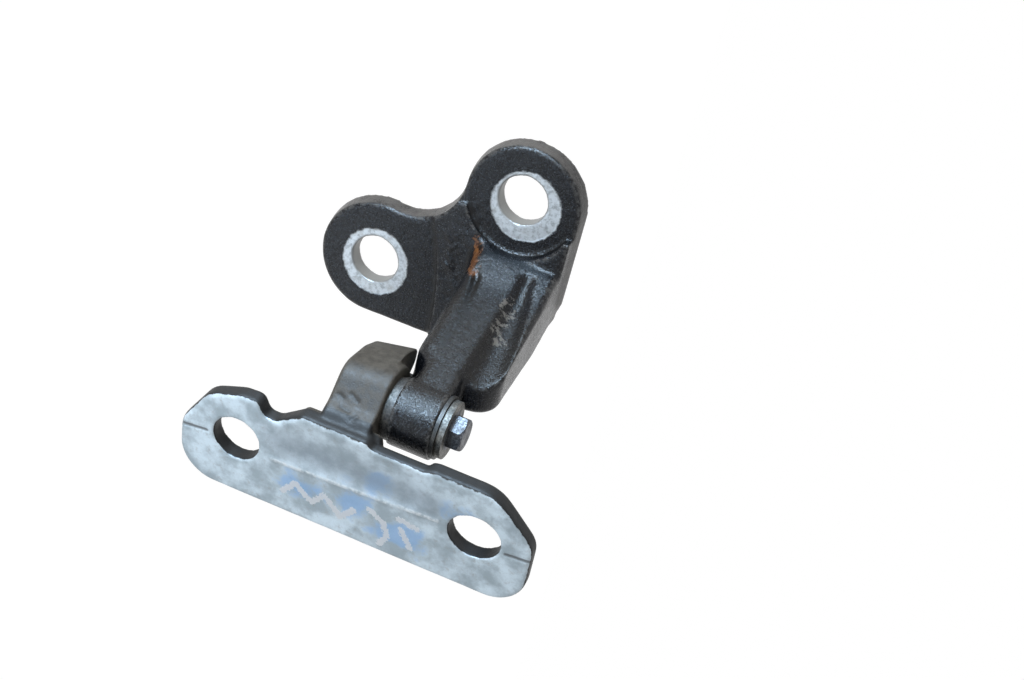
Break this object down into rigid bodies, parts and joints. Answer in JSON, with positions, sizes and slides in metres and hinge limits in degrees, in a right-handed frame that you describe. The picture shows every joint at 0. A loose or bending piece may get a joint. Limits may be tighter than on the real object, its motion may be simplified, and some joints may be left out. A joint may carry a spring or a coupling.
{
  "type": "car door hinge",
  "caption": "Forged car door hinge: a two-lobed pillar bracket with a flared arm and barrel, a door plate with a lug, and the bolt that pins them together",
  "frame": {"origin": "halfway between the centres of the two pillar bolt holes, on the face that meets the pillar", "axes": "+Z along the hinge pin toward its hex head, +Y into the pillar, +X toward the side the pin lies on"},
  "size_m": [0.1124, 0.0917, 0.1177],
  "materials": {
    "black_paint": "worn black paint, bare zinc rings round the bolt holes",
    "zinc_steel": "dull zinc coated steel",
    "bolt_steel": "grey zinc coated steel, scratched",
    "bush_steel": "dark worn steel"
  },
  "bodies": {
    "pillar_side": {"pillar_bracket": "black_paint", "upper_bush": "bush_steel", "lower_bush": "bush_steel"},
    "door_side": {"door_plate": "zinc_steel", "hinge_bolt": "bolt_steel", "bolt_washer": "bolt_steel", "thrust_ring": "bush_steel"}
  },
  "joints": [
    {"name": "door_swing", "type": "hinge", "parent": "pillar_side", "child": "door_side", "pos_m": [0.031, -0.0715, 0.02], "axis": [0, 0, 1], "range_deg": [-3, 80.5]}
  ]
}
